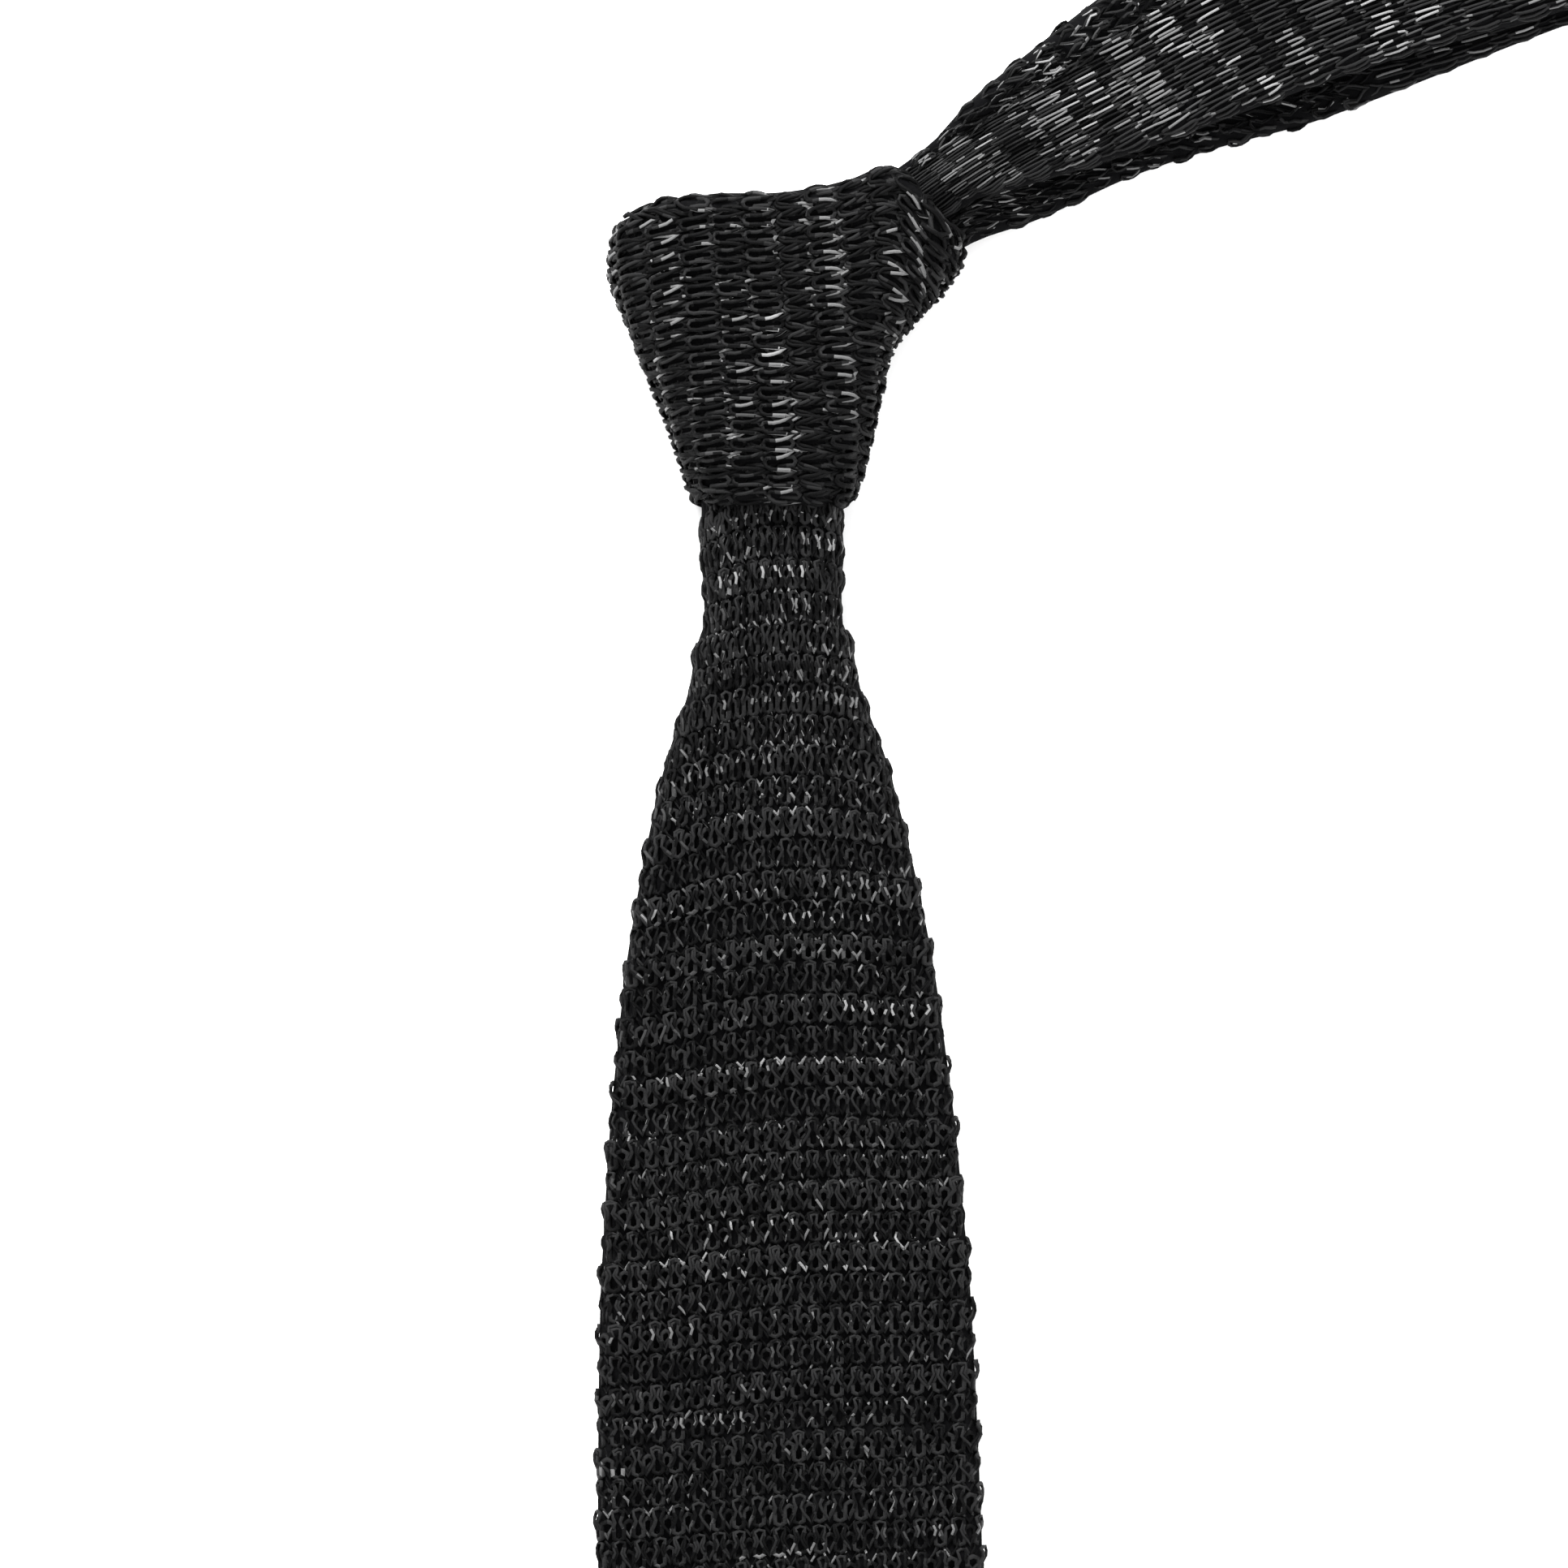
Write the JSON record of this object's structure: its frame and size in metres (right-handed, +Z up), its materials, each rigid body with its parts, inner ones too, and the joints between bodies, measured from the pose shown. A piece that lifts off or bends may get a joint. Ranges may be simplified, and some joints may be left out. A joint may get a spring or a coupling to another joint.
{
  "type": "necktie",
  "caption": "Flat knitted necktie in charcoal marl yarn, tied in a tapered knot, with a long square-ended front blade, a shorter tail held behind it and a neck loop.",
  "frame": {"origin": "on the table, under the middle of the knot, in the flat face of the knot's back wrap", "axes": "+Z up out of the table, through the face of the knot; -Y along the front blade towards its square end; +X to the side on which the neck loop leaves the knot"},
  "size_m": [0.2424, 0.6236, 0.0212],
  "materials": {
    "marl_knit": "matte knitted marl yarn, charcoal with pale grey flecks",
    "closing_seam": "matte linked stitches",
    "keeper_tape": "fine woven ribbon, slight sheen",
    "sewing_thread": "polyester thread, slight sheen"
  },
  "bodies": {
    "knot": {"knot_front_wrap": "marl_knit", "knot_left_turn": "marl_knit", "knot_right_turn": "marl_knit", "knot_top_turn": "marl_knit", "knot_blade_drop": "marl_knit", "knot_first_cross": "marl_knit", "knot_first_turn": "marl_knit", "knot_tail_pass": "marl_knit", "knot_back_wrap": "marl_knit", "knot_riser": "marl_knit"},
    "front_blade": {"blade_throat": "marl_knit", "blade_body": "marl_knit", "blade_end_seam": "closing_seam", "tail_throat": "marl_knit", "keeper_loop": "keeper_tape", "keeper_tack_left": "sewing_thread", "keeper_tack_right": "sewing_thread"},
    "tail": {"tail_body": "marl_knit", "tail_end_seam": "closing_seam"},
    "neck_loop": {"neck_near_strand": "marl_knit", "neck_far_strand": "marl_knit", "neck_back_fold": "marl_knit"}
  },
  "joints": [
    {"name": "blade_lift", "type": "hinge", "parent": "knot", "child": "front_blade", "pos_m": [0.0003, -0.02525, 0.01695], "axis": [-1, 0, 0], "range_deg": [0, 90]},
    {"name": "tail_draw", "type": "slide", "parent": "front_blade", "child": "tail", "axis": [0.018, -0.9998, 0], "range_m": [0, 0.06]},
    {"name": "neck_lift", "type": "hinge", "parent": "knot", "child": "neck_loop", "pos_m": [0.0272, 0.0247, 0.0129], "axis": [0.4067, -0.9135, 0], "range_deg": [0, 90]}
  ]
}
